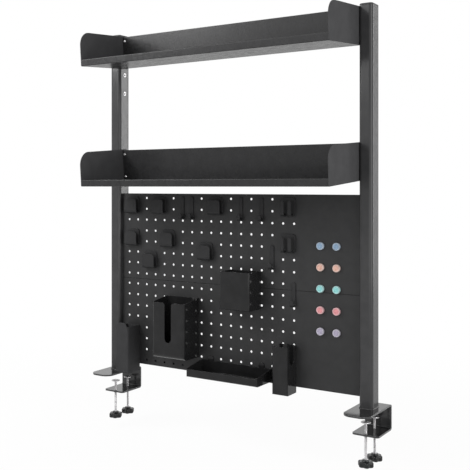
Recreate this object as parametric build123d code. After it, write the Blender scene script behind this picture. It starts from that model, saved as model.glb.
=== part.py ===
"""Clamp-on desk shelf: two posts, two tilted trays, a two-panel pegboard and its accessories.

Frame: +Z up, X across the desk, +Y towards the back of the desk. The origin lies midway
between the two clamps, on the plane where their top plates rest on the desk, and Y = 0 is
the front face of the pegboard. Millimetres.
"""
import os
from math import cos, radians, sin

from build123d import *

# Posts
CLEAR_WIDTH = 700.0
POST_WIDTH = 33.0
POST_DEPTH = 46.0
POST_FRONT_Y = -15.0
POST_ABOVE_TRAY = 104.0
POST_CORNER_R = 8.0
POST_WALL = 1.8
SPARE_HOLE_R = 3.2
SPARE_HOLE_DROP = (6.0, 58.0)
CAP_HEIGHT = 4.5
CAP_EDGE_R = 2.7
CAP_PLUG = 14.0
CAP_SLACK = 0.2

# Clamps
CLAMP_WIDTH = 65.0
CLAMP_OVERHANG = 15.0
CLAMP_PLATE = 4.0
CLAMP_FRONT_Y = -86.0
CLAMP_BACK_Y = 66.0
CLAMP_THROAT = 53.0
LOWER_PLATE_FRONT_Y = -21.0
CLAMP_BEND_R = 7.0
CLAMP_FRONT_R = 24.0
LOWER_PLATE_R = 8.0
SCREW_R = 3.0
SCREW_HOLE_SLACK = 0.35
SCREW_FROM_TIP = 9.0
SCREW_FROM_WEB = 18.0
PAD_R = 11.5
PAD_HEIGHT = 4.5
PAD_REST_GAP = 25.0
PAD_SOCKET = 2.5
PAD_EDGE_R = 1.2
SCREW_LENGTH = 85.0
SCREW_POINT = 0.6
KNOB_R = 18.5
KNOB_CORE_R = 14.8
KNOB_LOBE_R = 4.6
KNOB_EDGE = 1.6
KNOB_HEIGHT = 13.0
KNOB_LOBES = 6
KNOB_HUB_R = 8.0
KNOB_HUB_HEIGHT = 4.0
KNOB_HUB_FLARE = 2.0

# Trays
TRAY_SHEET = 1.5
TRAY_TILT = 4.4
TRAY_FRONT_Y = -180.0
TRAY_CLEAR_DEPTH = 180.0
TRAY_LIP = 17.5
TRAY_HEM = 4.0
TRAY_HEM_DROP = 7.0
TRAY_HEM_R = 1.6
TRAY_BACK = 88.0
TRAY_ABOVE_BOARD = 19.0
TRAY_SPACING = 316.0
END_HEIGHT = 90.0
END_DEPTH = 203.0
END_FRONT_R = 36.0
END_BACK_R = 5.0
END_FOOT_R = 3.0

# Pegboard
PANEL_SHEET = 1.2
PANEL_FLANGE = 14.0
PANEL_HEIGHT = 234.6
PANEL_GAP = 0.6
PANEL_RETURN = 16.0
BOARD_BOTTOM_Z = 28.2
HOLE_R = 3.0
HOLE_COLUMNS = 18
HOLE_ROWS = 8
LEFT_MARGIN = 23.0
PLAIN_END = 171.76
EDGE_MARGIN = 12.4
SEAM_MARGIN = 14.16

# Pegs and accessories
PEG_R = 2.4
PEG_LENGTH = 9.0
PEG_POINT = 0.8
ROUND_END_FLAT = 0.2
HOOK_THICK = 3.0
HOOK_WIDTH = 40.0
HOOK_HEIGHT = 46.0
HOOK_CORNER_R = 8.0
HOOK_REACH = 5.5
HOOK_LIP = 30.0
HOOK_TOP = 4.4
PRONG_WIDTH = 9.0
PRONG_SPACING = 20.0
PRONG_REACH = 5.5
SLIM_WIDTH = 10.0
SLIM_THICK = 2.6
SLIM_REACH = 5.5
SLIM_LIP = 9.0
SLIM_FOOT = 4.0
CUP_WALL = 2.2
BIN_CLEARANCE = 3.0
BOX_RISE = 27.0
BOX_WIDTH = 85.0
BOX_DEPTH = 61.0
BOX_HEIGHT = 95.0
BOX_CORNER_R = 4.0
TALL_RISE = 34.0
TALL_RIM_FALL = 9.5
TALL_DEPTH = 71.0
TALL_HEIGHT = 155.0
TALL_CORNER_R = 8.0
TALL_FOOT_R = 14.0
TALL_SLOT = 21.0
TALL_SLOT_DEPTH = 113.0
TALL_SHOULDER_R = 7.0
CUP_RISE = 5.0
CUP_WIDTH = 42.0
CUP_DEPTH = 55.0
CUP_HEIGHT = 126.0
CUP_CORNER_R = 5.0
CUP_TONGUE = 11.0
NARROW_RISE = 30.0
NARROW_WIDTH = 42.0
NARROW_DEPTH = 50.0
NARROW_HEIGHT = 116.0
NARROW_CORNER_R = 6.0
NARROW_FOOT_R = 4.0
NARROW_NOTCH = 26.0
NARROW_NOTCH_DEPTH = 45.0
LONG_RISE = -6.5
LONG_DEPTH = 78.0
LONG_HEIGHT = 32.0
LONG_FRONT = 20.0
LONG_CORNER_R = 5.0
LONG_EAR = 16.0
LONG_EAR_RISE = 6.5

MAGNET_R = 10.0
MAGNET_HEIGHT = 7.0
MAGNET_EDGE_R = 1.5
MAGNET_RING_R = 7.2
MAGNET_RING_DEPTH = 0.6
MAGNET_FROM_POST = 59.5
MAGNET_SPACING_X = 41.5
MAGNET_DROP = 123.2
MAGNET_SPACING_Z = 51.2
MAGNET_ROWS = 5

# Hole addresses (column, row), counted from the top left hole: the first hole of a hook, all pegs of a bin
WIDE_HOOKS = ((1, 1), (4, 1), (10, 1), (1, 4), (5, 4), (9, 5), (3, 6))
DOUBLE_HOOKS = ((17, 1), (17, 4))
SLIM_HOOKS = ((7, 1), (8, 1), (13, 1), (15, 1), (16, 5), (18, 8))
BOX_HOLES = ((13, 8), (14, 8))
TALL_HOLES = ((6, 11), (8, 11))
CUP_HOLES = ((1, 13), (2, 13))
NARROW_HOLES = ((17, 14), (18, 14))
LONG_HOLES = ((10, 15), (15, 15))

# Widths of the large bins, counted in hole pitches
TALL_PITCHES = 3.5
LONG_PITCHES = 7

# Derived places
POST_INNER_X = CLEAR_WIDTH / 2
POST_X = POST_INNER_X + POST_WIDTH / 2
POST_Y = POST_FRONT_Y + POST_DEPTH / 2
CLAMP_INNER_X = POST_INNER_X - CLAMP_OVERHANG
SCREW_X = POST_X
SCREW_Y = (LOWER_PLATE_FRONT_Y + SCREW_FROM_TIP, CLAMP_BACK_Y - CLAMP_PLATE - SCREW_FROM_WEB)
LOWER_PLATE_Z = -CLAMP_THROAT - CLAMP_PLATE
PAD_TOP_Z = -PAD_REST_GAP
SCREW_TOP_Z = PAD_TOP_Z - PAD_HEIGHT + PAD_SOCKET
SCREW_FOOT_Z = SCREW_TOP_Z - SCREW_LENGTH
TRAY_DEPTH = TRAY_HEM + TRAY_CLEAR_DEPTH + TRAY_SHEET
BOARD_TOP_Z = BOARD_BOTTOM_Z + 2 * PANEL_HEIGHT + PANEL_GAP
FIRST_COLUMN_X = LEFT_MARGIN - POST_INNER_X
HOLE_PITCH = (CLEAR_WIDTH - LEFT_MARGIN - PLAIN_END) / (HOLE_COLUMNS - 1)
ROW_PITCH = (PANEL_HEIGHT - EDGE_MARGIN - SEAM_MARGIN) / (HOLE_ROWS - 1)
LOWER_TRAY_Z = BOARD_TOP_Z + TRAY_ABOVE_BOARD
TRAY_FRONT_Z = {"lower": LOWER_TRAY_Z, "upper": LOWER_TRAY_Z + TRAY_SPACING}
POST_TOP_Z = TRAY_FRONT_Z["upper"] + POST_ABOVE_TRAY
TALL_WIDTH = TALL_PITCHES * HOLE_PITCH - BIN_CLEARANCE
LONG_WIDTH = LONG_PITCHES * HOLE_PITCH - BIN_CLEARANCE
RIGHT_MAGNET_X = POST_INNER_X - MAGNET_FROM_POST
MAGNET_X = (RIGHT_MAGNET_X - MAGNET_SPACING_X, RIGHT_MAGNET_X)
MAGNET_TOP_Z = BOARD_TOP_Z - MAGNET_DROP


def column_x(column):
    """X of a hole column, counted from 1 at the left."""
    return FIRST_COLUMN_X + (column - 1) * HOLE_PITCH


def row_z(row):
    """Z of a hole row, counted from 1 at the top; rows past the seam sit on the lower panel."""
    if row <= HOLE_ROWS:
        return BOARD_TOP_Z - EDGE_MARGIN - (row - 1) * ROW_PITCH
    lower_top = BOARD_BOTTOM_Z + PANEL_HEIGHT
    return lower_top - SEAM_MARGIN - (row - HOLE_ROWS - 1) * ROW_PITCH


def hole_at(address):
    """(X, Z) of the hole at a (column, row) address."""
    column, row = address
    return column_x(column), row_z(row)


def middle_x(addresses):
    """X midway between the holes at the given addresses."""
    return sum(column_x(column) for column, row in addresses) / len(addresses)


def save(name, solid):
    export_step(solid, f"parts/{name}.step")


def front_plate(outline, thickness, y_back=0.0):
    """An XZ outline made into a plate whose back face is at y_back and which grows to the front."""
    return extrude(Plane.XZ.offset(-y_back) * outline, thickness)


def across(profile, width, x_center=0.0):
    """A (Y, Z) profile extruded across X, centred on x_center."""
    return Pos(x_center, 0, 0) * extrude(Plane.YZ * profile, width / 2, both=True)


def corners_at(section, y=None, z=None):
    """The corners of a (Y, Z) profile that lie on the given line."""
    return [v for v in section.vertices()
            if (y is None or abs(v.X - y) < 0.01) and (z is None or abs(v.Y - z) < 0.01)]


def on_both_sides(stem, solid):
    """Write a right-hand piece and its mirror image."""
    save(f"right_{stem}", solid)
    save(f"left_{stem}", mirror(solid, Plane.YZ))


def post():
    outer = RectangleRounded(POST_WIDTH, POST_DEPTH, POST_CORNER_R)
    inner = RectangleRounded(
        POST_WIDTH - 2 * POST_WALL, POST_DEPTH - 2 * POST_WALL, POST_CORNER_R - POST_WALL)
    tube = Pos(POST_X, POST_Y, CLAMP_PLATE) * extrude(outer - inner, POST_TOP_Z - CLAMP_PLATE)
    for drop in SPARE_HOLE_DROP:
        hole_z = TRAY_FRONT_Z["upper"] - drop + END_FOOT_R
        hole = Pos(POST_INNER_X, POST_Y, hole_z) * Rot(0, 90, 0) * Cylinder(SPARE_HOLE_R, 3 * POST_WALL)
        tube -= hole
    return tube


def post_cap():
    lid = extrude(RectangleRounded(POST_WIDTH, POST_DEPTH, POST_CORNER_R), CAP_HEIGHT)
    lid = fillet(lid.faces().sort_by(Axis.Z)[-1].edges(), CAP_EDGE_R)
    plug_in = POST_WALL + CAP_SLACK
    plug = RectangleRounded(POST_WIDTH - 2 * plug_in, POST_DEPTH - 2 * plug_in, POST_CORNER_R - plug_in)
    return Pos(POST_X, POST_Y, POST_TOP_Z) * (lid + extrude(plug, -CAP_PLUG))


def clamp_bracket():
    """A strip bent to a C that opens to the front: top plate, back web and shorter lower plate."""
    top = CLAMP_PLATE
    back = CLAMP_BACK_Y
    web = back - CLAMP_PLATE
    outline = Polyline(
        (CLAMP_FRONT_Y, 0), (CLAMP_FRONT_Y, top), (back, top), (back, LOWER_PLATE_Z),
        (LOWER_PLATE_FRONT_Y, LOWER_PLATE_Z), (LOWER_PLATE_FRONT_Y, -CLAMP_THROAT),
        (web, -CLAMP_THROAT), (web, 0), close=True)
    section = make_face(outline)
    section = fillet(corners_at(section, back), CLAMP_BEND_R)
    section = fillet(corners_at(section, web), CLAMP_BEND_R - CLAMP_PLATE)
    strip = across(section, CLAMP_WIDTH, CLAMP_INNER_X + CLAMP_WIDTH / 2)
    strip = fillet(strip.edges().filter_by(Axis.Z).group_by(Axis.Y)[0], CLAMP_FRONT_R)
    lower_corners = strip.edges().filter_by(Axis.Z).filter_by_position(
        Axis.Y, LOWER_PLATE_FRONT_Y - SCREW_HOLE_SLACK, LOWER_PLATE_FRONT_Y + SCREW_HOLE_SLACK)
    strip = fillet(lower_corners, LOWER_PLATE_R)
    for y in SCREW_Y:
        strip -= Pos(SCREW_X, y, LOWER_PLATE_Z) * Cylinder(SCREW_R + SCREW_HOLE_SLACK, 4 * CLAMP_PLATE)
    return strip


def clamp_pad(y):
    """Round pressure pad with a blind socket for the screw tip."""
    pad = Cylinder(PAD_R, PAD_HEIGHT, align=(Align.CENTER, Align.CENTER, Align.MAX))
    pad = fillet(pad.edges().sort_by(Axis.Z)[-1], PAD_EDGE_R)
    socket = Pos(0, 0, -PAD_HEIGHT) * Cylinder(
        SCREW_R + SCREW_HOLE_SLACK, PAD_SOCKET, align=(Align.CENTER, Align.CENTER, Align.MIN))
    return Pos(SCREW_X, y, PAD_TOP_Z) * (pad - socket)


def clamp_screw(y):
    rod = Cylinder(SCREW_R, SCREW_LENGTH, align=(Align.CENTER, Align.CENTER, Align.MAX))
    rod = chamfer(rod.edges().sort_by(Axis.Z)[-1], SCREW_POINT)
    return Pos(SCREW_X, y, SCREW_TOP_Z) * rod


def clamp_knob(y):
    """Star knob: a round core with lobes, dished at the edges, under a short hub."""
    lobe_at = KNOB_R - KNOB_LOBE_R
    star = Circle(KNOB_CORE_R)
    for turn in range(KNOB_LOBES):
        angle = radians(360 / KNOB_LOBES * turn)
        star += Pos(lobe_at * cos(angle), lobe_at * sin(angle)) * Circle(KNOB_LOBE_R)
    grip = extrude(star, KNOB_HEIGHT)
    top_and_bottom = grip.faces().filter_by(Axis.Z)
    grip = chamfer(top_and_bottom.edges(), KNOB_EDGE)
    hub = Pos(0, 0, KNOB_HEIGHT) * Cone(
        KNOB_HUB_R + KNOB_HUB_FLARE, KNOB_HUB_R, KNOB_HUB_HEIGHT,
        align=(Align.CENTER, Align.CENTER, Align.MIN))
    return Pos(SCREW_X, y, SCREW_FOOT_Z - KNOB_HEIGHT - KNOB_HUB_HEIGHT) * (grip + hub)


def place_tray(level, solid):
    """Tip a shelf piece back and set its front lower edge at its height on the posts."""
    return Pos(0, TRAY_FRONT_Y, TRAY_FRONT_Z[level]) * Rot(TRAY_TILT, 0, 0) * solid


def tray_sheet():
    """Folded sheet: hemmed front lip, floor and back wall."""
    wall = TRAY_DEPTH - TRAY_SHEET
    hem_z = TRAY_LIP - TRAY_HEM_DROP
    section = make_face(Polyline(
        (0, 0), (TRAY_DEPTH, 0), (TRAY_DEPTH, TRAY_BACK), (wall, TRAY_BACK), (wall, TRAY_SHEET),
        (TRAY_SHEET, TRAY_SHEET), (TRAY_SHEET, hem_z), (TRAY_HEM, hem_z), (TRAY_HEM, TRAY_LIP),
        (0, TRAY_LIP), close=True))
    section = fillet(corners_at(section, z=0), TRAY_SHEET)
    section = fillet(corners_at(section, z=TRAY_LIP), TRAY_HEM_R)
    return across(section, CLEAR_WIDTH - 2 * TRAY_SHEET)


def tray_end():
    """Upright end plate, round at the top front, with the tail that is screwed to the post."""
    section = make_face(Polyline(
        (0, 0), (END_DEPTH, 0), (END_DEPTH, END_HEIGHT), (0, END_HEIGHT), close=True))
    section = fillet(corners_at(section, y=0, z=END_HEIGHT), END_FRONT_R)
    section = fillet(corners_at(section, y=END_DEPTH), END_BACK_R)
    section = fillet(corners_at(section, y=0, z=0), END_FOOT_R)
    return across(section, TRAY_SHEET, POST_INNER_X - TRAY_SHEET / 2)


def panel(bottom_z, first_row_from_top):
    """One perforated sheet with its edges folded back; the right end is left plain for magnets."""
    height = PANEL_HEIGHT
    mid = bottom_z + height / 2
    sheet = Pos(0, mid) * Rectangle(CLEAR_WIDTH, height)
    holes_x = FIRST_COLUMN_X + (HOLE_COLUMNS - 1) * HOLE_PITCH / 2
    holes_z = bottom_z + height - first_row_from_top - (HOLE_ROWS - 1) * ROW_PITCH / 2
    grid = GridLocations(HOLE_PITCH, ROW_PITCH, HOLE_COLUMNS, HOLE_ROWS)
    sheet -= [Pos(holes_x, holes_z) * spot * Circle(HOLE_R) for spot in grid]
    inside = Rectangle(CLEAR_WIDTH - 2 * PANEL_SHEET, height - 2 * PANEL_SHEET)
    rim = Rectangle(CLEAR_WIDTH, height) - inside
    flanges = front_plate(Pos(0, mid) * rim, PANEL_FLANGE - PANEL_SHEET, PANEL_FLANGE)
    return front_plate(sheet, PANEL_SHEET, PANEL_SHEET) + flanges


def bottom_return():
    """The second fold of the lowest edge, up behind the lowest row of holes."""
    lip = Pos(0, BOARD_BOTTOM_Z + PANEL_RETURN / 2) * Rectangle(CLEAR_WIDTH, PANEL_RETURN)
    return front_plate(lip, PANEL_SHEET, PANEL_FLANGE)


def pegs(places):
    """Straight round pegs that push into the holes at the given (x, z) places."""
    peg = Cylinder(PEG_R, PEG_LENGTH, align=(Align.CENTER, Align.CENTER, Align.MIN))
    peg = chamfer(peg.edges().sort_by(Axis.Z)[-1], PEG_POINT)
    return [Pos(x, 0, z) * Rot(-90, 0, 0) * peg for x, z in places]


def round_top(width, height, corner_r):
    """An upright outline (X, Z) with round upper corners, standing on Z = 0."""
    return RectangleRounded(width, 2 * height, corner_r) & (Pos(0, height) * Rectangle(width, 2 * height))


def j_arm(width, thick, reach, lip, corner_r):
    """A J that leaves a plate of the same thickness, turns up and ends in a rounded lip.

    The bottom of the bend is at Z = 0 and the back of the arm at Y = 0.
    """
    outer_r = reach + thick
    ring = Circle(outer_r) - Circle(reach)
    bend = ring & (Pos(0, -outer_r) * Rectangle(4 * outer_r, 2 * outer_r))
    center_y = -outer_r
    bend = across(Pos(center_y, outer_r) * bend, width)
    lip_back = center_y - reach
    return bend + front_plate(Pos(0, outer_r) * round_top(width, lip, corner_r), thick, lip_back)


def wide_hook(column, row):
    """A strip bent to a J whose lip stands almost as high as its back."""
    bend = HOOK_REACH + HOOK_THICK
    back = round_top(HOOK_WIDTH, HOOK_HEIGHT - bend, HOOK_CORNER_R)
    hook = front_plate(Pos(0, bend) * back, HOOK_THICK)
    hook += j_arm(HOOK_WIDTH, HOOK_THICK, HOOK_REACH, HOOK_LIP, HOOK_CORNER_R)
    foot = Pos(column_x(column + 0.5), 0, row_z(row) + HOOK_TOP - HOOK_HEIGHT)
    spots = [hole_at((column, row)), hole_at((column + 1, row))]
    return (foot * hook).fuse(*pegs(spots))


def double_hook(column, row):
    """A rounded plate with two narrow J prongs."""
    hook = front_plate(RectangleRounded(HOOK_WIDTH, HOOK_HEIGHT, HOOK_CORNER_R), HOOK_THICK)
    for side in (-1, 1):
        prong = j_arm(PRONG_WIDTH, HOOK_THICK, PRONG_REACH, HOOK_LIP, (PRONG_WIDTH - ROUND_END_FLAT) / 2)
        hook += Pos(side * PRONG_SPACING / 2, 0, -HOOK_HEIGHT / 2) * prong
    middle = Pos(column_x(column + 0.5), 0, row_z(row) + HOOK_TOP - HOOK_HEIGHT / 2)
    spots = [hole_at((column, row)), hole_at((column + 1, row))]
    return (middle * hook).fuse(*pegs(spots))


def slim_hook(column, row):
    top = row_z(row) + SLIM_WIDTH / 2
    bottom = row_z(row + 2) + SLIM_FOOT
    end_r = (SLIM_WIDTH - ROUND_END_FLAT) / 2
    strip = RectangleRounded(SLIM_WIDTH, top - bottom, end_r)
    hook = Pos(0, 0, (top + bottom) / 2) * front_plate(strip, SLIM_THICK)
    hook += Pos(0, 0, bottom) * j_arm(SLIM_WIDTH, SLIM_THICK, SLIM_REACH, SLIM_LIP, end_r)
    spots = [(0, row_z(row)), (0, row_z(row + 1))]
    return Pos(column_x(column), 0, 0) * hook.fuse(*pegs(spots))


def bin_block(x, width, depth, bottom, top, corner_r, foot_r):
    """A block flat against the board, with round front corners and a round lower front edge."""
    plan = RectangleRounded(width, 2 * depth, corner_r) & (Pos(0, -depth / 2) * Rectangle(width, depth))
    plan = Pos(x, 0, bottom) * extrude(plan, top - bottom)
    side = make_face(Polyline((0, bottom), (0, top), (-depth, top), (-depth, bottom), close=True))
    side = fillet(corners_at(side, y=-depth, z=bottom), foot_r)
    return plan & across(side, width, x)


def bin_shell(x, width, depth, bottom, top, corner_r, foot_r):
    """The same block with the same walls all round, open at the top."""
    outer = bin_block(x, width, depth, bottom, top, corner_r, foot_r)
    lip = 2 * CUP_WALL
    inner = bin_block(x, width - 2 * CUP_WALL, depth - 2 * CUP_WALL, bottom + CUP_WALL, top + lip,
                      corner_r - CUP_WALL, foot_r - CUP_WALL)
    return outer - Pos(0, -CUP_WALL, 0) * inner


def slot_cutter(width, bottom, top):
    """An upright slot outline (X, Z) with a round lower end."""
    height = top - bottom
    return Pos(0, bottom + height / 2 + width / 4) * Rectangle(width, height - width / 2) + \
        Pos(0, bottom + width / 2) * Circle(width / 2)


def rim_cutter(x, width, depth, back_z, front_z):
    """What lies above a rim that falls from the back wall to the front wall."""
    start = -2 * CUP_WALL
    end = -2 * depth
    over = back_z + depth
    outline = Polyline(
        (start, back_z), (-depth, front_z), (end, front_z), (end, over), (start, over), close=True)
    return across(make_face(outline), 2 * width, x)


def box_bin():
    x = middle_x(BOX_HOLES)
    top = hole_at(BOX_HOLES[0])[1] + BOX_RISE
    shell = bin_shell(x, BOX_WIDTH, BOX_DEPTH, top - BOX_HEIGHT, top, BOX_CORNER_R, BOX_CORNER_R)
    return shell.fuse(*pegs(hole_at(hole) for hole in BOX_HOLES))


def tall_holder():
    """Tall bin whose front wall is slotted from the rim almost to the floor."""
    x = middle_x(TALL_HOLES)
    top = hole_at(TALL_HOLES[0])[1] + TALL_RISE
    shell = bin_shell(x, TALL_WIDTH, TALL_DEPTH, top - TALL_HEIGHT, top, TALL_CORNER_R, TALL_FOOT_R)
    rim = top - TALL_RIM_FALL
    shell -= rim_cutter(x, TALL_WIDTH, TALL_DEPTH, top, rim)
    slot = slot_cutter(TALL_SLOT, top - TALL_SLOT_DEPTH, top + TALL_SLOT)
    slot += Pos(0, rim) * Rectangle(TALL_SLOT + 2 * TALL_SHOULDER_R, 2 * TALL_SHOULDER_R)
    for side in (-1, 1):
        shoulder_x = side * (TALL_SLOT / 2 + TALL_SHOULDER_R)
        slot -= Pos(shoulder_x, rim - TALL_SHOULDER_R) * Circle(TALL_SHOULDER_R)
    shell -= Pos(x, 0, 0) * front_plate(slot, 2 * CUP_WALL, CUP_WALL - TALL_DEPTH)
    return shell.fuse(*pegs(hole_at(hole) for hole in TALL_HOLES))


def side_cup():
    """Narrow deep cup with a round tongue standing up from its front wall."""
    x = middle_x(CUP_HOLES)
    rim = hole_at(CUP_HOLES[0])[1] + CUP_RISE
    shell = bin_shell(x, CUP_WIDTH, CUP_DEPTH, rim - CUP_HEIGHT, rim, CUP_CORNER_R, CUP_CORNER_R)
    tongue = round_top(CUP_WIDTH - 2 * CUP_CORNER_R, CUP_TONGUE, CUP_TONGUE - ROUND_END_FLAT)
    shell += Pos(x, 0, rim) * front_plate(tongue, CUP_WALL, CUP_WALL - CUP_DEPTH)
    return shell.fuse(*pegs(hole_at(hole) for hole in CUP_HOLES))


def narrow_holder():
    """Narrow deep holder with a notch in each side wall."""
    x = middle_x(NARROW_HOLES)
    rim = hole_at(NARROW_HOLES[0])[1] + NARROW_RISE
    shell = bin_shell(
        x, NARROW_WIDTH, NARROW_DEPTH, rim - NARROW_HEIGHT, rim, NARROW_CORNER_R, NARROW_FOOT_R)
    notch = slot_cutter(NARROW_NOTCH, rim - NARROW_NOTCH_DEPTH, rim + NARROW_NOTCH)
    shell -= across(Pos(-NARROW_DEPTH / 2, 0) * notch, 2 * NARROW_WIDTH, x)
    return shell.fuse(*pegs(hole_at(hole) for hole in NARROW_HOLES))


def parts_tray():
    """Long open tray whose side walls slope to a low front, hung by two ears above its back wall."""
    x = middle_x(LONG_HOLES)
    top = hole_at(LONG_HOLES[0])[1] + LONG_RISE
    bottom = top - LONG_HEIGHT
    shell = bin_shell(x, LONG_WIDTH, LONG_DEPTH, bottom, top, LONG_CORNER_R, LONG_CORNER_R)
    shell -= rim_cutter(x, LONG_WIDTH, LONG_DEPTH, top, bottom + LONG_FRONT)
    ear_foot = top - LONG_EAR / 2
    for ear_x, hole_z in map(hole_at, LONG_HOLES):
        ear = round_top(LONG_EAR, hole_z + LONG_EAR_RISE - ear_foot, LONG_EAR_RISE)
        shell += Pos(ear_x, 0, ear_foot) * front_plate(ear, CUP_WALL)
    return shell.fuse(*pegs(hole_at(hole) for hole in LONG_HOLES))


def magnet(x, z):
    """Round board magnet with a shallow dish in its face."""
    disc = front_plate(Circle(MAGNET_R), MAGNET_HEIGHT)
    disc = fillet(disc.edges().group_by(Axis.Y)[0], MAGNET_EDGE_R)
    dish = front_plate(Circle(MAGNET_RING_R), MAGNET_RING_DEPTH, MAGNET_RING_DEPTH - MAGNET_HEIGHT)
    return Pos(x, 0, z) * (disc - dish)


os.makedirs("parts", exist_ok=True)

# Frame and clamps
on_both_sides("post", post())
on_both_sides("post_cap", post_cap())
on_both_sides("clamp", clamp_bracket())
for place, screw_y in zip(("front", "rear"), SCREW_Y):
    on_both_sides(f"{place}_pad", clamp_pad(screw_y))
    on_both_sides(f"{place}_screw", clamp_screw(screw_y))
    on_both_sides(f"{place}_knob", clamp_knob(screw_y))

# Trays
for level in TRAY_FRONT_Z:
    save(f"{level}_tray", place_tray(level, tray_sheet()))
    on_both_sides(f"{level}_tray_end", place_tray(level, tray_end()))

# Pegboard
save("lower_panel", panel(BOARD_BOTTOM_Z, SEAM_MARGIN) + bottom_return())
save("upper_panel", panel(BOARD_BOTTOM_Z + PANEL_HEIGHT + PANEL_GAP, EDGE_MARGIN))

# Accessories
for number, (column, row) in enumerate(WIDE_HOOKS, 1):
    save(f"wide_hook_{number}", wide_hook(column, row))
for number, (column, row) in enumerate(DOUBLE_HOOKS, 1):
    save(f"double_hook_{number}", double_hook(column, row))
for number, (column, row) in enumerate(SLIM_HOOKS, 1):
    save(f"slim_hook_{number}", slim_hook(column, row))
save("box_bin", box_bin())
save("tall_holder", tall_holder())
save("side_cup", side_cup())
save("narrow_holder", narrow_holder())
save("parts_tray", parts_tray())
for step in range(MAGNET_ROWS):
    for side, x in zip(("left", "right"), MAGNET_X):
        save(f"{side}_magnet_{step + 1}", magnet(x, MAGNET_TOP_Z - step * MAGNET_SPACING_Z))
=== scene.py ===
"""Dresses the desk shelf for its studio picture: materials, small hardware, light and camera.

Lengths are metres. Sizes taken from the part are written in millimetres times MM, and the profiles of
turned pieces and the seam strip's section are plain millimetres. The CAD nodes stay where the frame puts
them, and the pieces made here ride on the frame's bodies.
"""
import math

import bpy
from mathutils import Matrix, Vector


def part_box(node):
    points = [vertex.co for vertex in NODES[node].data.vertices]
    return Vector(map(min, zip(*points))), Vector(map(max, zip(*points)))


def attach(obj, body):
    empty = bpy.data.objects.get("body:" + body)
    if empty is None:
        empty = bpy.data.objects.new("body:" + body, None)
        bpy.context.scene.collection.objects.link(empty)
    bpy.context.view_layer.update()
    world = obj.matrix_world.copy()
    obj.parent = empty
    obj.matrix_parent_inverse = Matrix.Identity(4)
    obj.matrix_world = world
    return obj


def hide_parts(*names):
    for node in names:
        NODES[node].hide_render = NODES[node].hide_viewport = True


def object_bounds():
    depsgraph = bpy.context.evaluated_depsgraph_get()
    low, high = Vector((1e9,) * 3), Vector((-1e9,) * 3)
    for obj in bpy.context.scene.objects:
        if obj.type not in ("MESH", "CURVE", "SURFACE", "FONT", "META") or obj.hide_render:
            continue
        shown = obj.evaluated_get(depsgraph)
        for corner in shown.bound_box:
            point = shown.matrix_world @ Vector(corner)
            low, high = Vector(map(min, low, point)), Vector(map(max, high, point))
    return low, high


MM = 0.001

# Camera, as fitted to the 470 by 470 photograph
IMAGE_SIDE_PX = 470
FOCAL_PX = 840.66
CENTRE_U_PX = 165.0
HORIZON_V_PX = 185.88
CAMERA_PLACE = (1.09416, -1.86869, 0.51890)
CAMERA_YAW = 0.6080
SENSOR_WIDTH = 36.0

# Posts, clamp screws, pads and knobs, as in the CAD source
POST_CORNER_R = 8 * MM
SPARE_HOLE_Z = (830 * MM, 778 * MM)
SCREW_R = 3 * MM
PAD_R = 11.5 * MM
KNOB_TIP_R = 18.5 * MM
KNOB_LOBES = 6

# Outline of a star knob between its lobes; a lower power gives broader lobes
KNOB_WAIST_R = 14.9 * MM
KNOB_LOBE_POWER = 0.75

# Thread and press-in nut
THREAD_PITCH = 1 * MM
THREAD_DEPTH = 0.4 * MM
THREAD_FLANK = 1.6
THREAD_RINGS_PER_TURN = 5
THREAD_SIDES = 20
NUT_HEIGHT = 1.8 * MM
NUT_R = 6.4 * MM
NUT_CLEARANCE = 0.12 * MM

# Trays and panels; depths run along a tray's floor and heights up its back wall
TRAY_FRONT_Y = -180 * MM
TRAY_FRONT_Z = {"lower": 517 * MM, "upper": 833 * MM}
TRAY_TILT = math.radians(4.4)
TRAY_SHEET = 1.5 * MM
TRAY_WALL_DEPTH = 184 * MM
TRAY_TAIL_DEPTH = 194 * MM
WALL_SCREW_X = 342 * MM
WALL_SCREW_HEIGHTS = (76 * MM, 14 * MM)
TAIL_SCREW_HEIGHTS = (18 * MM, 70 * MM)
PANEL_SHEET = 1.2 * MM
PANEL_SCREW_Y = 7.5 * MM
PANEL_SCREW_Z = (45 * MM, 246 * MM, 280 * MM, 481 * MM)
SEAM_END_GAP = 2 * MM

# Weld beads
WELD_R = 1.7 * MM
WELD_RIPPLE = 0.28 * MM
WELD_RIPPLE_STEP = 1.9
WELD_LIFT = 0.2 * MM
WELD_CORNER_STEPS = 12
WELD_SIDE_STEPS = 16
WELD_RING_SIDES = 8

# Magnets; the first spans of a shell's profile are its rim
MAGNET_SEGMENTS = 40
MAGNET_RIM_SPANS = 8

# Texture scales per metre, and the noise range that carries most of a noise's values
MOTTLE_SCALE = 38.0
GLOSS_SCALE = 70.0
WEAR_AND_PAINTED_LIGHT_SCALE = 160.0
NOISE_RANGE = (0.3, 0.7)

# Stage; the knobs come down to their lowest place above the floor
FLOOR_DROP = 26 * MM
FLOOR_HALF = 30.0
SHADOW_REACH = (0.4, 1.6)
FLOOR_WHITE_SHARE = (0.95, 1.0)
WORLD_LIGHT = 0.55
WORLD_SEEN = 1.0

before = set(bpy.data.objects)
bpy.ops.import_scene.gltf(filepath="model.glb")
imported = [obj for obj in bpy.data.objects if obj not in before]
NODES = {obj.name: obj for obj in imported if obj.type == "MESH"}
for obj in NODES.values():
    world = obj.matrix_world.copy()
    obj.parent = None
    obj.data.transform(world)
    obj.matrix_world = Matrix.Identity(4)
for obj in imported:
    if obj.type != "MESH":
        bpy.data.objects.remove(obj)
CAD_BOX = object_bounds()

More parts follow.
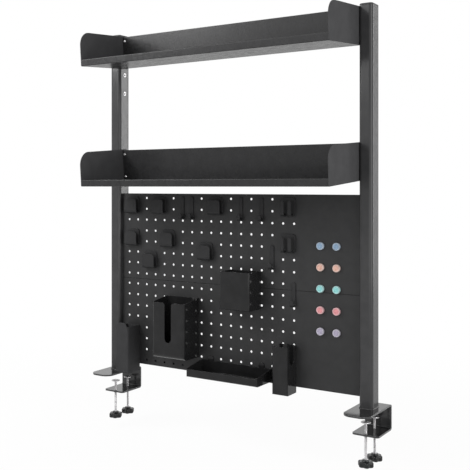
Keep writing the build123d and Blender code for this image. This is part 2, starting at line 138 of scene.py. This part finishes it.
# Places on the right side of the part, read from the frame; the left side mirrors them
POST_LOW, POST_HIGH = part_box("right_post")
POST_INNER_X, CLAMP_TOP_Z = POST_LOW.x, POST_LOW.z
POST_X, POST_Y, _ = (POST_LOW + POST_HIGH) / 2
POST_HALF_X, POST_HALF_Y, _ = (POST_HIGH - POST_LOW) / 2
LOWER_PLATE_UNDERSIDE_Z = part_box("right_clamp")[0].z
SCREW_BOXES = {place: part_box(f"right_{place}_screw") for place in ("front", "rear")}
SCREW_Y = {place: (low.y + high.y) / 2 for place, (low, high) in SCREW_BOXES.items()}
SCREW_FOOT_Z, SCREW_TOP_Z = (corner.z for corner in SCREW_BOXES["front"])
SCREW_LENGTH = SCREW_TOP_Z - SCREW_FOOT_Z
PAD_TOP_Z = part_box("right_front_pad")[1].z
KNOB_FOOT_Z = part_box("right_front_knob")[0].z


# Materials


def new_material(name):
    """A new material, its node tree and its Principled shader."""
    material = bpy.data.materials.new(name)
    material.use_nodes = True
    tree = material.node_tree
    return material, tree, tree.nodes["Principled BSDF"]


def add(tree, kind, **settings):
    """A node of the given kind with its properties and unlinked inputs set."""
    node = tree.nodes.new(kind)
    for key, value in settings.items():
        if key in node.inputs:
            node.inputs[key].default_value = value
        else:
            setattr(node, key, value)
    return node


def object_place(tree):
    return add(tree, "ShaderNodeTexCoord").outputs["Object"]


def stretched(tree, place, scale):
    """A place scaled by its own factor along each axis."""
    node = add(tree, "ShaderNodeMapping", Scale=scale)
    tree.links.new(place, node.inputs["Vector"])
    return node.outputs["Vector"]


def noise(tree, place, scale, detail=3.0):
    node = add(tree, "ShaderNodeTexNoise", Scale=scale, Detail=detail)
    tree.links.new(place, node.inputs["Vector"])
    return node.outputs["Fac"]


def spread(tree, value, low, high, source=NOISE_RANGE):
    """A value stretched from its source span to low..high."""
    node = add(tree, "ShaderNodeMapRange")
    node.inputs["From Min"].default_value = source[0]
    node.inputs["From Max"].default_value = source[1]
    node.inputs["To Min"].default_value = low
    node.inputs["To Max"].default_value = high
    tree.links.new(value, node.inputs["Value"])
    return node.outputs["Result"]


def blend(tree, factor, first, second):
    """A colour between two; each is a colour or an output to link."""
    node = add(tree, "ShaderNodeMix", data_type="RGBA")
    for socket, colour in ((node.inputs["A"], first), (node.inputs["B"], second)):
        if isinstance(colour, tuple):
            socket.default_value = (*colour, 1)
        else:
            tree.links.new(colour, socket)
    tree.links.new(factor, node.inputs["Factor"])
    return node.outputs["Result"]


def product(tree, first, second):
    node = add(tree, "ShaderNodeMath", operation="MULTIPLY")
    tree.links.new(first, node.inputs[0])
    tree.links.new(second, node.inputs[1])
    return node.outputs["Value"]


def mixed_shader(tree, factor, first, second):
    """Puts a mix of two shader outputs on the material's surface."""
    mix = add(tree, "ShaderNodeMixShader")
    tree.links.new(factor, mix.inputs["Fac"])
    tree.links.new(first, mix.inputs[1])
    tree.links.new(second, mix.inputs[2])
    tree.links.new(mix.outputs["Shader"], tree.nodes["Material Output"].inputs["Surface"])


def edge_mask(tree, radius):
    """The normal of a softly rounded edge, and a mask that is 1 on sharp edges and 0 on flats."""
    sharp, flat = 0.75, 0.99
    rounded = add(tree, "ShaderNodeBevel", samples=4, Radius=radius)
    true = add(tree, "ShaderNodeNewGeometry")
    dot = add(tree, "ShaderNodeVectorMath", operation="DOT_PRODUCT")
    tree.links.new(rounded.outputs["Normal"], dot.inputs[0])
    tree.links.new(true.outputs["Normal"], dot.inputs[1])
    return rounded.outputs["Normal"], spread(tree, dot.outputs["Value"], 1.0, 0.0, (sharp, flat))


def bumped(tree, shader, height, distance, normal=None, strength=0.5):
    bump = add(tree, "ShaderNodeBump", Strength=strength, Distance=distance)
    tree.links.new(height, bump.inputs["Height"])
    if normal is not None:
        tree.links.new(normal, bump.inputs["Normal"])
    tree.links.new(bump.outputs["Normal"], shader.inputs["Normal"])


def grey(level, warm=0.0):
    """A near-neutral colour."""
    return (level * (1 + warm), level, level * (1.03 - warm))


def coat(name, dark, light, edge_wear_and_painted_light, rough, grain, relief, edge_radius, specular):
    """Powder coat or moulded plastic: mottled grey, uneven gloss, a fine raised grain, and an edge colour in
    a broken pattern that is rubbed wear on most finishes, a painted highlight on the clamps and painted shade
    on the hooks.
    """
    most_wear_and_painted_light = 0.8
    material, tree, shader = new_material(name)
    place = object_place(tree)
    edge_normal, edge = edge_mask(tree, edge_radius)
    mottle = spread(tree, noise(tree, place, MOTTLE_SCALE), 0.0, 1.0)
    colour = blend(tree, mottle, grey(dark), grey(light))
    # Edges take the edge colour through broken noise: rubbed wear on most finishes, a painted highlight on
    # the clamps, painted shade on the hooks.
    wear_and_painted_light_mask = product(tree, edge, spread(tree, noise(tree, place, WEAR_AND_PAINTED_LIGHT_SCALE), 0.0, most_wear_and_painted_light))
    tree.links.new(blend(tree, wear_and_painted_light_mask, colour, grey(edge_wear_and_painted_light)), shader.inputs["Base Color"])
    tree.links.new(spread(tree, noise(tree, place, GLOSS_SCALE), *rough), shader.inputs["Roughness"])
    shader.inputs["Specular IOR Level"].default_value = specular
    bumped(tree, shader, noise(tree, place, grain, detail=2.0), relief, edge_normal)
    return material


def dry_underside(material, level):
    """Thin dry overspray where a coated sheet faces down: streaks of dull grey over the coat."""
    streak_scale, streak_share = (60.0, 380.0, 380.0), (0.05, 0.5)
    normal_z_from, normal_z_full = -0.6, -0.9
    tree = material.node_tree
    dull = add(tree, "ShaderNodeBsdfDiffuse", Color=(*grey(level), 1), Roughness=0.6)
    along = stretched(tree, object_place(tree), streak_scale)
    streaks = spread(tree, noise(tree, along, 1.0), *streak_share)
    facing = add(tree, "ShaderNodeSeparateXYZ")
    tree.links.new(add(tree, "ShaderNodeNewGeometry").outputs["Normal"], facing.inputs["Vector"])
    below = spread(tree, facing.outputs["Z"], 0.0, 1.0, (normal_z_from, normal_z_full))
    coated = tree.nodes["Principled BSDF"].outputs["BSDF"]
    mixed_shader(tree, product(tree, streaks, below), coated, dull.outputs["BSDF"])


def turned_zinc(name, low, high, rough):
    """Bright plate on turned steel: fine rings, a cast from cool to warm, and small dull spots."""
    cast_scale, spot_scale, ring_scale = 90.0, 260.0, (60.0, 60.0, 2400.0)
    cool, warm = 0.01, 0.02
    material, tree, shader = new_material(name)
    place = object_place(tree)
    cast = spread(tree, noise(tree, place, cast_scale), 0.0, 1.0)
    tree.links.new(blend(tree, cast, grey(low, cool), grey(high, warm)), shader.inputs["Base Color"])
    shader.inputs["Metallic"].default_value = 1.0
    tree.links.new(spread(tree, noise(tree, place, spot_scale), *rough), shader.inputs["Roughness"])
    rings = noise(tree, stretched(tree, place, ring_scale), 1.0)
    bumped(tree, shader, rings, 0.05 * MM, strength=0.3)
    return material


def tinted(colour, gain, lift=0.0):
    return tuple(min(1.0, c * gain + lift) for c in colour)


def lacquer(name, colour):
    """Coloured magnet shell: satin plastic with fine cloudiness and paler moulded edges."""
    cloud_scale, gloss_scale, grain_scale = 220.0, 400.0, 900.0
    most_pale_edge = 0.7
    material, tree, shader = new_material(name)
    place = object_place(tree)
    edge_normal, edge = edge_mask(tree, 0.4 * MM)
    clouds = spread(tree, noise(tree, place, cloud_scale), 0.0, 1.0)
    cloudy = blend(tree, clouds, tinted(colour, 0.86), tinted(colour, 1.1, 0.01))
    pale_edge = spread(tree, edge, 0.0, most_pale_edge, (0.0, 1.0))
    tree.links.new(blend(tree, pale_edge, cloudy, tinted(colour, 1.3, 0.05)), shader.inputs["Base Color"])
    tree.links.new(spread(tree, noise(tree, place, gloss_scale), 0.3, 0.46), shader.inputs["Roughness"])
    grain = noise(tree, place, grain_scale, detail=2.0)
    bumped(tree, shader, grain, 0.03 * MM, edge_normal, strength=0.3)
    return material


POST_COAT = coat(
    "post_coat", dark=0.034, light=0.042, edge_wear_and_painted_light=0.07, rough=(0.15, 0.2),
    grain=900.0, relief=0.01 * MM, edge_radius=1.0 * MM, specular=0.24)
# The clamp's pale edge colour is a painted highlight: bright lines along the plate edges.
CLAMP_COAT = coat(
    "clamp_coat", dark=0.018, light=0.026, edge_wear_and_painted_light=0.5, rough=(0.10, 0.18),
    grain=800.0, relief=0.01 * MM, edge_radius=1.5 * MM, specular=0.5)
TRAY_COAT = coat(
    "tray_coat", dark=0.021, light=0.026, edge_wear_and_painted_light=0.06, rough=(0.24, 0.32),
    grain=1100.0, relief=0.008 * MM, edge_radius=0.7 * MM, specular=0.2)
dry_underside(TRAY_COAT, 0.03)
END_COAT = coat(
    "tray_end_coat", dark=0.054, light=0.062, edge_wear_and_painted_light=0.11, rough=(0.6, 0.75),
    grain=1000.0, relief=0.03 * MM, edge_radius=0.5 * MM, specular=0.02)
BOARD_COAT = coat(
    "board_coat", dark=0.016, light=0.021, edge_wear_and_painted_light=0.05, rough=(0.42, 0.54),
    grain=1000.0, relief=0.04 * MM, edge_radius=1.2 * MM, specular=0.28)
CAP_PLASTIC = coat(
    "cap_plastic", dark=0.014, light=0.022, edge_wear_and_painted_light=0.04, rough=(0.42, 0.56),
    grain=1400.0, relief=0.05 * MM, edge_radius=0.6 * MM, specular=0.4)
KNOB_PLASTIC = coat(
    "knob_plastic", dark=0.003, light=0.006, edge_wear_and_painted_light=0.03, rough=(0.16, 0.26),
    grain=1600.0, relief=0.02 * MM, edge_radius=0.5 * MM, specular=0.35)
GLOSS_PLASTIC = coat(
    "gloss_plastic", dark=0.011, light=0.016, edge_wear_and_painted_light=0.04, rough=(0.07, 0.14),
    grain=700.0, relief=0.004 * MM, edge_radius=0.7 * MM, specular=0.2)
# The hook's near-black edge colour is painted shade: dark lines along the lip and plate edges.
HOOK_PLASTIC = coat(
    "hook_plastic", dark=0.021, light=0.026, edge_wear_and_painted_light=0.003, rough=(0.34, 0.46),
    grain=900.0, relief=0.02 * MM, edge_radius=1.6 * MM, specular=0.15)
CUP_PLASTIC = coat(
    "cup_plastic", dark=0.038, light=0.045, edge_wear_and_painted_light=0.11, rough=(0.5, 0.62),
    grain=900.0, relief=0.02 * MM, edge_radius=0.8 * MM, specular=0.02)
# Near-black strip in the panel seam: painted shade standing in for the shadow in the gap.
SEAM_PAINTED_SHADE = coat(
    "seam_painted_shade", dark=0.002, light=0.004, edge_wear_and_painted_light=0.01, rough=(0.7, 0.85),
    grain=1500.0, relief=0.03 * MM, edge_radius=0.1 * MM, specular=0.05)
NUT_BLACK = coat(
    "nut_black", dark=0.012, light=0.02, edge_wear_and_painted_light=0.09, rough=(0.3, 0.46),
    grain=700.0, relief=0.05 * MM, edge_radius=0.3 * MM, specular=0.5)
ZINC = turned_zinc("zinc_plate", 0.42, 0.54, (0.22, 0.36))
HEAD_STEEL = turned_zinc("head_steel", 0.62, 0.74, (0.22, 0.4))
MAGNET_HUES = {
    "blue": (0.205, 0.31, 0.44),
    "peach": (0.585, 0.34, 0.27),
    "turquoise": (0.21, 0.515, 0.51),
    "coral": (0.59, 0.23, 0.246),
    "lilac": (0.31, 0.28, 0.37)}
MAGNET_FACES = [lacquer(f"magnet_{hue}", colour) for hue, colour in MAGNET_HUES.items()]
MAGNET_RIMS = [lacquer(f"magnet_{hue}_rim", tinted(colour, 0.62, 0.2)) for hue, colour in MAGNET_HUES.items()]

# The first word found in a node's name gives its finish
FINISHES = (
    ("post_cap", CAP_PLASTIC), ("knob", KNOB_PLASTIC), ("pad", ZINC), ("screw", ZINC), ("tray_end", END_COAT),
    ("parts_tray", GLOSS_PLASTIC), ("_tray", TRAY_COAT), ("panel", BOARD_COAT), ("post", POST_COAT),
    ("clamp", CLAMP_COAT), ("hook", HOOK_PLASTIC), ("cup", CUP_PLASTIC))


def node_material(name):
    """The finish of a CAD node, by what the node is; the other accessories are glossy plastic."""
    if "magnet" in name:
        return MAGNET_FACES[int(name[-1]) - 1]
    for word, material in FINISHES:
        if word in name:
            return material
    return GLOSS_PLASTIC


for node_name, node_object in NODES.items():
    for slot in node_object.material_slots:
        slot.material = node_material(node_name)


# Pieces


def add_piece(name, vertices, faces, material, body, smooth_angle=40.0):
    """A mesh object in the part's frame that rides on a body."""
    mesh = bpy.data.meshes.new(name)
    mesh.from_pydata(vertices, [], faces)
    mesh.validate()
    mesh.shade_smooth()
    mesh.set_sharp_from_angle(angle=math.radians(smooth_angle))
    mesh.materials.append(material)
    piece = bpy.data.objects.new(name, mesh)
    bpy.context.scene.collection.objects.link(piece)
    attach(piece, body)
    return piece


def rings_to_faces(rings, closed_path=False):
    """Quads between rings of the same count; the two end rings are capped unless the path closes."""
    count = len(rings[0])
    vertices = [point for ring in rings for point in ring]
    spans = [(i, i + 1) for i in range(len(rings) - 1)]
    if closed_path:
        spans.append((len(rings) - 1, 0))
    faces = []
    for low, high in spans:
        for k in range(count):
            after = (k + 1) % count
            faces.append((low * count + k, low * count + after, high * count + after, high * count + k))
    if not closed_path:
        faces.append(tuple(range(count - 1, -1, -1)))
        first = (len(rings) - 1) * count
        faces.append(tuple(range(first, first + count)))
    return vertices, faces


def placed(rings, matrix):
    return [[tuple(matrix @ Vector(point)) for point in ring] for ring in rings]


def circle(angle):
    return 1.0


def hexagon(angle):
    """Radius of a unit hexagon (across corners 2)."""
    turn = math.radians(60)
    return math.cos(turn / 2) / math.cos(angle % turn - turn / 2)


def star(angle):
    """Outline of the star knob against its lobe tips."""
    waist = KNOB_WAIST_R / KNOB_TIP_R
    return waist + (1 - waist) * (0.5 + 0.5 * math.cos(KNOB_LOBES * angle)) ** KNOB_LOBE_POWER


def add_turned(name, profile, at, material, body, segments, smooth_angle=40.0, closed_path=False):
    """A turned piece at a matrix. A profile step is (radius, z) or (radius, z, outline), in millimetres."""
    rings = []
    for radius, z, *outline in profile:
        shape = outline[0] if outline else circle
        ring = []
        for k in range(segments):
            angle = 2 * math.pi * k / segments
            r = radius * MM * shape(angle)
            ring.append((r * math.cos(angle), r * math.sin(angle), z * MM))
        rings.append(ring)
    vertices, faces = rings_to_faces(placed(rings, at), closed_path)
    return add_piece(name, vertices, faces, material, body, smooth_angle)


def standing_on(place, direction):
    """A frame at a place whose Z points along a direction."""
    turn = Vector(direction).to_track_quat("Z", "Y").to_matrix().to_4x4()
    return Matrix.Translation(Vector(place)) @ turn


def on_screw_axis(sign, place, z):
    """A frame at a height on a clamp screw's axis."""
    return Matrix.Translation((sign * POST_X, SCREW_Y[place], z))


def button_head(name, place, direction):
    """Domed socket screw head on a thin washer face."""
    profile = [
        (3.7, -0.4), (3.9, 0.0), (3.9, 0.35), (3.72, 0.9), (3.2, 1.5), (2.5, 1.95), (2.0, 2.1),
        (1.55, 2.1), (1.5, 1.95, hexagon), (1.45, 0.9, hexagon), (0.4, 0.8)]
    add_turned(name, profile, standing_on(place, direction), HEAD_STEEL, "frame", segments=24)


def rivet_nut_rim(name, place, direction):
    """Bright rolled rim of a rivet nut in a spare post hole, round the dark bore."""
    profile = [
        (2.7, -0.7), (3.0, -0.6), (3.0, 0.1), (4.4, 0.1), (5.2, 0.18), (5.6, 0.45), (5.4, 0.75),
        (4.6, 0.9), (3.6, 0.8), (2.9, 0.5), (2.65, 0.1), (2.65, -0.55)]
    at = standing_on(place, direction)
    add_turned(name, profile, at, HEAD_STEEL, "frame", segments=28, closed_path=True)


def thread_rings():
    """Rings of a screw rod: a helical ridge on a core, run out at both ends."""
    steps = round(SCREW_LENGTH / THREAD_PITCH * THREAD_RINGS_PER_TURN)
    rings = []
    for i in range(steps + 1):
        along = SCREW_LENGTH * i / steps
        from_end = min(along, SCREW_LENGTH - along)
        ring = []
        for k in range(THREAD_SIDES):
            turn = k / THREAD_SIDES
            phase = (along / THREAD_PITCH - turn) % 1.0
            crest = min(1.0, THREAD_FLANK * abs(2 * phase - 1))
            r = SCREW_R - THREAD_DEPTH * (1 - crest * min(1.0, from_end / THREAD_PITCH))
            angle = 2 * math.pi * turn
            ring.append((r * math.cos(angle), r * math.sin(angle), along - SCREW_LENGTH))
        rings.append(ring)
    return rings


def clamp_screw(side, sign, place):
    """Threaded rod between pad and knob."""
    name = f"{side}_{place}"
    body = f"{name}_screw"
    vertices, faces = rings_to_faces(placed(thread_rings(), on_screw_axis(sign, place, SCREW_TOP_Z)))
    rod = add_piece(f"{name}_thread", vertices, faces, ZINC, body, smooth_angle=60.0)
    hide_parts(f"{name}_screw")


def clamp_knob(side, sign, place):
    """Star knob with rolled edges, a dished top, a hub and a steel bush round the rod."""
    name = f"{side}_{place}"
    body = f"{name}_screw"
    at = on_screw_axis(sign, place, KNOB_FOOT_Z)
    tip = KNOB_TIP_R / MM
    foot = [(6.0, 0.9), (7.5, 0.9), (8.2, 0.0)]
    lobes = [(tip - inset, z, star) for inset, z in (
        (3.6, 0.0), (2.2, 0.25), (1.1, 0.9), (0.35, 1.9), (0.0, 3.4), (0.0, 9.6), (0.35, 11.1), (1.1, 12.1),
        (2.2, 12.75), (3.6, 13.0))]
    hub = [
        (11.4, 12.7), (9.9, 12.9), (9.0, 13.6), (8.4, 14.8), (8.1, 16.2), (7.7, 16.8), (7.0, 17.0),
        (4.4, 17.0)]
    profile = foot + lobes + hub
    knob = add_turned(f"{name}_star", profile, at, KNOB_PLASTIC, body, segments=96, smooth_angle=32.0)
    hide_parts(f"{name}_knob")
    bush = [(5.6, 16.6), (5.6, 17.5), (5.2, 17.9), (3.2, 17.9)]
    add_turned(f"{name}_bush", bush, at, ZINC, body, segments=32)


def clamp_pad(side, sign, place):
    """Turned pressure pad: a thin disc with a ringed face on a swivel neck."""
    name = f"{side}_{place}_pad"
    edge = PAD_R / MM
    neck = [(4.2, -4.5), (5.4, -4.5), (5.9, -4.2), (6.0, -3.3), (6.6, -2.9)]
    disc = [(edge - inset, z) for inset, z in (
        (0.9, -2.7), (0.25, -2.4), (0.0, -1.8), (0.0, -0.9), (0.3, -0.3), (1.0, 0.0))]
    face = [
        (8.6, 0.0), (8.3, -0.35), (7.6, -0.35), (7.3, 0.0), (5.2, 0.0), (4.9, -0.35), (4.2, -0.35),
        (3.9, 0.0), (1.0, 0.0)]
    at = on_screw_axis(sign, place, PAD_TOP_Z)
    pad = add_turned(f"{name}_disc", neck + disc + face, at, ZINC, name, segments=48)
    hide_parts(name)


def press_nut(side, sign, place):
    """Low hexagon flange of the press-in nut under the lower clamp plate, round the rod."""
    bore, outer, top = (SCREW_R + NUT_CLEARANCE) / MM, NUT_R / MM, NUT_HEIGHT / MM
    profile = [
        (bore, top), (bore, 0.4), (bore + 0.4, 0.0), (outer * 0.87, 0.0), (outer * 0.97, 0.3, hexagon),
        (outer, 0.6, hexagon), (outer, top, hexagon)]
    at = on_screw_axis(sign, place, LOWER_PLATE_UNDERSIDE_Z - NUT_HEIGHT)
    add_turned(
        f"{side}_{place}_press_nut", profile, at, NUT_BLACK, "frame",
        segments=48, smooth_angle=25.0, closed_path=True)


def post_outline():
    """Points round a post's rounded section, each with its outward normal."""
    middle_x, middle_y = POST_HALF_X - POST_CORNER_R, POST_HALF_Y - POST_CORNER_R
    corners = [Vector((sx * middle_x, sy * middle_y, 0)) for sx, sy in ((1, 1), (-1, 1), (-1, -1), (1, -1))]
    path = []
    for quarter, middle in enumerate(corners):
        for k in range(WELD_CORNER_STEPS + 1):
            angle = math.pi / 2 * (quarter + k / WELD_CORNER_STEPS)
            normal = Vector((math.cos(angle), math.sin(angle), 0))
            path.append((middle + normal * POST_CORNER_R, normal))
        last, normal = path[-1]
        start = corners[(quarter + 1) % len(corners)] + normal * POST_CORNER_R
        for k in range(1, WELD_SIDE_STEPS):
            path.append((last.lerp(start, k / WELD_SIDE_STEPS), normal))
    return path


def weld_bead(side, sign):
    """Rippled weld round the foot of a post."""
    rings = []
    for i, (spot, normal) in enumerate(post_outline()):
        size = WELD_R + WELD_RIPPLE * math.sin(i * WELD_RIPPLE_STEP)
        centre = spot + Vector((0, 0, WELD_LIFT))
        ring = []
        for k in range(WELD_RING_SIDES):
            angle = 2 * math.pi * k / WELD_RING_SIDES
            ring.append(centre + normal * size * math.cos(angle) + Vector((0, 0, size * math.sin(angle))))
        rings.append(ring)
    at = Matrix.Translation((sign * POST_X, POST_Y, CLAMP_TOP_Z))
    vertices, faces = rings_to_faces(placed(rings, at), closed_path=True)
    add_piece(f"{side}_weld_bead", vertices, faces, POST_COAT, "frame", smooth_angle=80.0)


def magnet_shell(side, number):
    """Round magnet: a pale rolled rim round a dished, coloured face."""
    node = f"{side}_magnet_{number}"
    low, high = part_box(node)
    middle = (low + high) / 2
    thick = (high.y - low.y) / MM
    rim = [
        (8.0, 0.0), (8.9, 0.0), (9.2, 0.3), (9.3, thick * 0.5), (9.2, thick - 0.9), (8.9, thick - 0.35),
        (8.3, thick), (7.4, thick)]
    face = [(6.9, thick - 0.3), (6.4, thick - 0.75), (3.0, thick - 0.8), (0.6, thick - 0.8)]
    at = standing_on((middle.x, high.y, middle.z), (0, -1, 0))
    shell = add_turned(
        f"{node}_shell", rim + face, at, MAGNET_FACES[number - 1], node,
        segments=MAGNET_SEGMENTS, smooth_angle=35.0)
    shell.data.materials.append(MAGNET_RIMS[number - 1])
    for index, polygon in enumerate(shell.data.polygons):
        polygon.material_index = int(index < MAGNET_RIM_SPANS * MAGNET_SEGMENTS)
    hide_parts(node)


def seam_shade_strip():
    """Near-black strip in the seam between the two panels, with a rounded front: painted shade for the shadow
    in the gap.
    """
    low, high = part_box("lower_panel")
    seam_z = (high.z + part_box("upper_panel")[0].z) / 2
    section = ((-0.02, 0.42), (-0.06, 0.21), (-0.06, -0.21), (-0.02, -0.42), (0.3, -0.28), (0.3, 0.28))
    rings = [[(x, y * MM, seam_z + rise * MM) for y, rise in section]
             for x in (low.x + SEAM_END_GAP, high.x - SEAM_END_GAP)]
    vertices, faces = rings_to_faces(rings)
    add_piece("panel_seam_shade_strip", vertices, faces, SEAM_PAINTED_SHADE, "frame")


def on_tray(level, depth, height):
    """(y, z) of a point given along the floor and up the wall of a tray."""
    along, up = math.cos(TRAY_TILT), math.sin(TRAY_TILT)
    return TRAY_FRONT_Y + depth * along - height * up, TRAY_FRONT_Z[level] + depth * up + height * along


def tray_screws(side, sign, level):
    """Heads on the tray's back wall by its end plate, and on the tail of the end plate."""
    out_of_wall = (0, -math.cos(TRAY_TILT), -math.sin(TRAY_TILT))
    for number, height in enumerate(WALL_SCREW_HEIGHTS, 1):
        y, z = on_tray(level, TRAY_WALL_DEPTH, height)
        button_head(f"{side}_{level}_wall_screw_{number}", (sign * WALL_SCREW_X, y, z), out_of_wall)
    end_x = sign * (POST_INNER_X - TRAY_SHEET)
    for number, height in enumerate(TAIL_SCREW_HEIGHTS, 1):
        y, z = on_tray(level, TRAY_TAIL_DEPTH, height)
        button_head(f"{side}_{level}_end_screw_{number}", (end_x, y, z), (-sign, 0, 0))


def post_hardware(side, sign):
    """Rivet-nut rims in the spare holes of a post, and the screws that hold the panels' folded sides."""
    inwards = (-sign, 0, 0)
    for number, z in enumerate(SPARE_HOLE_Z, 1):
        rivet_nut_rim(f"{side}_rivet_nut_{number}", (sign * POST_INNER_X, POST_Y, z), inwards)
    panel_x = sign * (POST_INNER_X - PANEL_SHEET)
    for number, z in enumerate(PANEL_SCREW_Z, 1):
        button_head(f"{side}_panel_screw_{number}", (panel_x, PANEL_SCREW_Y, z), inwards)


seam_shade_strip()
for side, sign in (("left", -1), ("right", 1)):
    weld_bead(side, sign)
    for number in range(1, len(MAGNET_HUES) + 1):
        magnet_shell(side, number)
    for place in SCREW_Y:
        clamp_screw(side, sign, place)
        clamp_knob(side, sign, place)
        clamp_pad(side, sign, place)
        press_nut(side, sign, place)
    for level in TRAY_FRONT_Z:
        tray_screws(side, sign, level)
    post_hardware(side, sign)


# Stage, light and camera


def seen_rays(tree):
    """1 for camera, glossy and transmission rays."""
    path = add(tree, "ShaderNodeLightPath")
    total = path.outputs["Is Camera Ray"]
    for kind in ("Is Glossy Ray", "Is Transmission Ray"):
        larger = add(tree, "ShaderNodeMath", operation="MAXIMUM")
        tree.links.new(total, larger.inputs[0])
        tree.links.new(path.outputs[kind], larger.inputs[1])
        total = larger.outputs["Value"]
    return total


def stage_floor():
    """A pale floor below the lowest place of the knobs: white far off, with the soft shadow near the part."""
    half, z = FLOOR_HALF, CAD_BOX[0][2] - FLOOR_DROP
    mesh = bpy.data.meshes.new("floor")
    corners = [(-half, -half, z), (half, -half, z), (half, half, z), (-half, half, z)]
    mesh.from_pydata(corners, [], [(0, 1, 2, 3)])
    floor = bpy.data.objects.new("floor", mesh)
    bpy.context.scene.collection.objects.link(floor)
    material, tree, shader = new_material("floor_white")
    shader.inputs["Base Color"].default_value = (0.8, 0.8, 0.8, 1)
    shader.inputs["Roughness"].default_value = 0.9
    shader.inputs["Specular IOR Level"].default_value = 0.1
    distance = add(tree, "ShaderNodeVectorMath", operation="LENGTH")
    tree.links.new(object_place(tree), distance.inputs[0])
    share = spread(tree, distance.outputs["Value"], *FLOOR_WHITE_SHARE, SHADOW_REACH)
    white = add(tree, "ShaderNodeEmission", Strength=1.0)
    seen_white = product(tree, share, seen_rays(tree))
    mixed_shader(tree, seen_white, shader.outputs["BSDF"], white.outputs["Emission"])
    mesh.materials.append(material)


def studio_world():
    """White where it is seen or mirrored, and dimmer as a light."""
    world = bpy.data.worlds.new("studio")
    world.use_nodes = True
    tree = world.node_tree
    background = tree.nodes["Background"]
    background.inputs["Color"].default_value = (1, 1, 1, 1)
    strength = spread(tree, seen_rays(tree), WORLD_LIGHT, WORLD_SEEN, (0.0, 1.0))
    tree.links.new(strength, background.inputs["Strength"])
    bpy.context.scene.world = world


def soft_box(name, place, target, size, power):
    lamp = bpy.data.lights.new(name, "AREA")
    lamp.shape = "RECTANGLE"
    lamp.size, lamp.size_y = size
    lamp.energy = power
    box = bpy.data.objects.new(name, lamp)
    box.location = place
    box.rotation_euler = (Vector(target) - Vector(place)).to_track_quat("-Z", "Y").to_euler()
    box.visible_camera = False
    bpy.context.scene.collection.objects.link(box)


def photo_camera():
    """A level camera, shifted so that upright edges stay parallel as in the photograph."""
    data = bpy.data.cameras.new("photo_camera")
    data.sensor_width = SENSOR_WIDTH
    data.lens = FOCAL_PX / IMAGE_SIDE_PX * SENSOR_WIDTH
    data.shift_x = (IMAGE_SIDE_PX / 2 - CENTRE_U_PX) / IMAGE_SIDE_PX
    data.shift_y = (HORIZON_V_PX - IMAGE_SIDE_PX / 2) / IMAGE_SIDE_PX
    camera = bpy.data.objects.new("photo_camera", data)
    camera.location = CAMERA_PLACE
    camera.rotation_euler = (math.pi / 2, 0, CAMERA_YAW)
    bpy.context.scene.collection.objects.link(camera)
    bpy.context.scene.camera = camera


stage_floor()
studio_world()
soft_box("front_box", place=(-0.95, -2.2, 1.74), target=(-0.95, 0.0, 1.59), size=(1.5, 1.5), power=18.0)
soft_box("near_left_box", place=(-0.9, -0.95, 1.25), target=(-0.25, 0.0, 0.8), size=(0.5, 0.5), power=12.0)
soft_box("back_right_box", place=(2.38, 3.4, 0.9), target=(0.0, 0.0, 0.5), size=(0.55, 2.2), power=30.0)
soft_box("right_box", place=(2.9, -1.2, 0.9), target=(0.0, -0.1, 0.5), size=(1.6, 2.0), power=42.0)
soft_box("low_fill", place=(0.5, -2.6, 0.25), target=(0.0, 0.0, 0.4), size=(2.0, 0.6), power=6.0)
photo_camera()
bpy.context.scene.view_settings.view_transform = "Standard"
